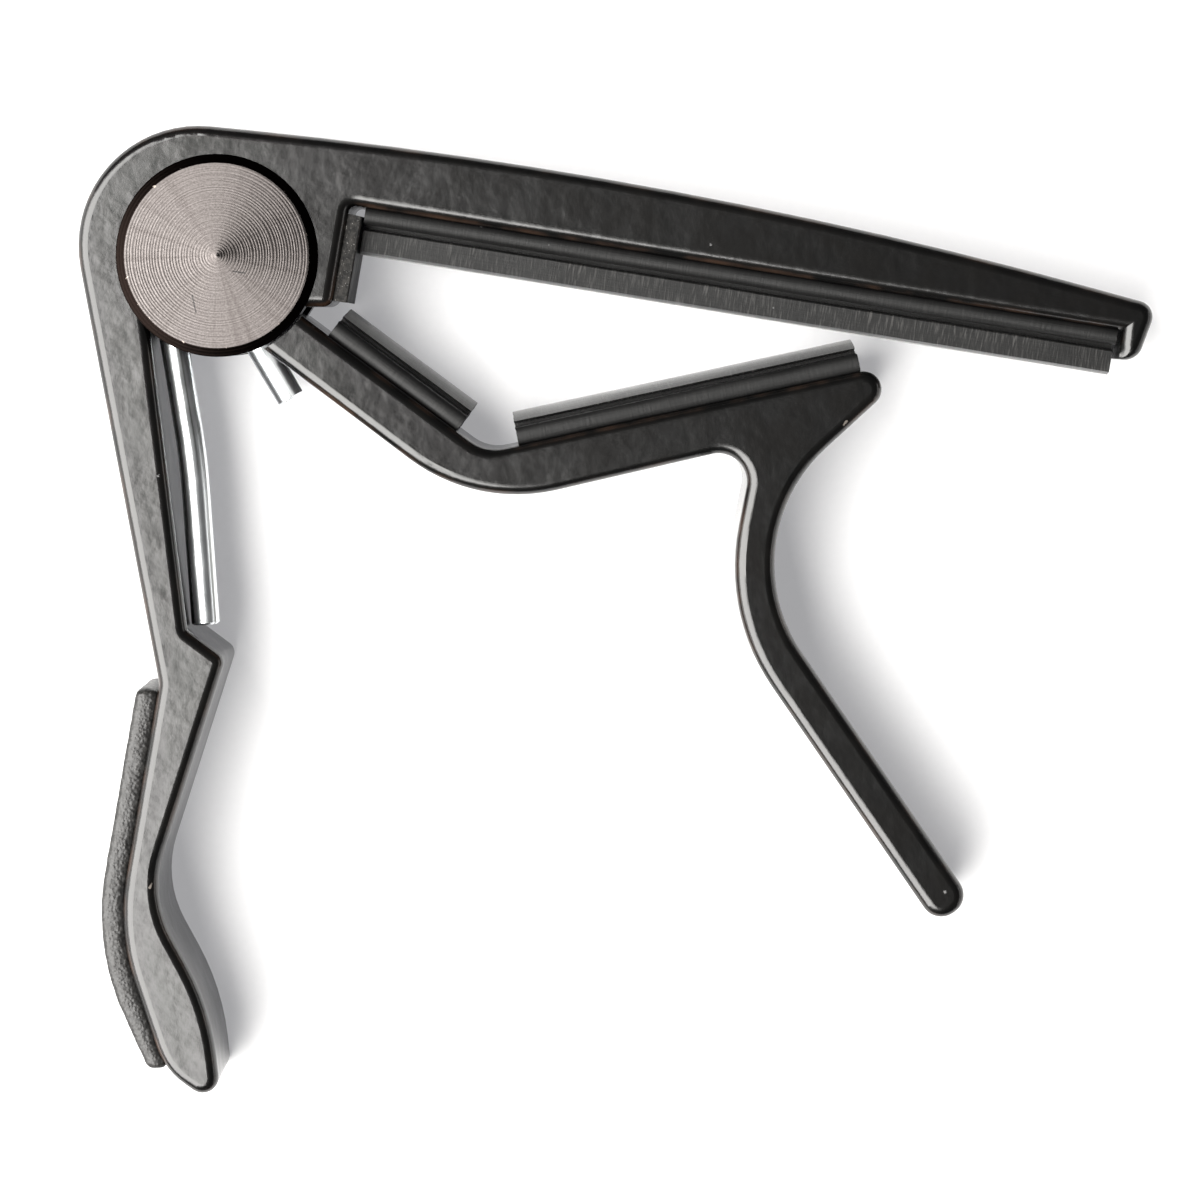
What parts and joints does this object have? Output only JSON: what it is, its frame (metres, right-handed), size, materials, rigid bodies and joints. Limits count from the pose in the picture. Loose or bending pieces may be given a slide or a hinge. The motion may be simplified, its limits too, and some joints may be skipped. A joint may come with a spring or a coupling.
{
  "type": "guitar capo",
  "caption": "Spring capo for a guitar: two hinged cast levers with rubber pads clamp a neck, opened by squeezing a thumb grip and a finger trigger.",
  "frame": {"origin": "centre of the bottom of the bounding box, in the plane of the rear faces of the levers", "axes": "+Z through the thickness, parallel to the hinge axis, from the rear face to the front face; +X from the hub towards the tips of the jaws; +Y from the thumb lever's tip towards the upper jaw"},
  "size_m": [0.09, 0.0816, 0.0131],
  "materials": {
    "lever_coat": "satin powder coat",
    "hub_metal": "turned",
    "pin_steel": "ground",
    "spring_wire": "bright plated",
    "pad_rubber": "matte",
    "grip_rubber": "pebbled"
  },
  "bodies": {
    "clamp_body": {"main_lever": "lever_coat", "front_hub_disc": "hub_metal", "rear_hub_disc": "hub_metal", "pivot_pin": "pin_steel", "torsion_spring": "spring_wire", "string_pad": "pad_rubber", "neck_edge_pad": "pad_rubber", "thumb_grip": "grip_rubber"},
    "trigger_body": {"trigger_lever": "lever_coat", "inner_back_pad": "pad_rubber", "outer_back_pad": "pad_rubber"}
  },
  "joints": [
    {"name": "jaw_hinge", "type": "hinge", "parent": "clamp_body", "child": "trigger_body", "pos_m": [-0.03332, 0.02998, 0.00635], "axis": [0, 0, -1], "range_deg": [0, 35], "stiffness_Nm_per_rad": 0.25, "springref_deg": -34.38, "deforming": ["torsion_spring"]}
  ]
}
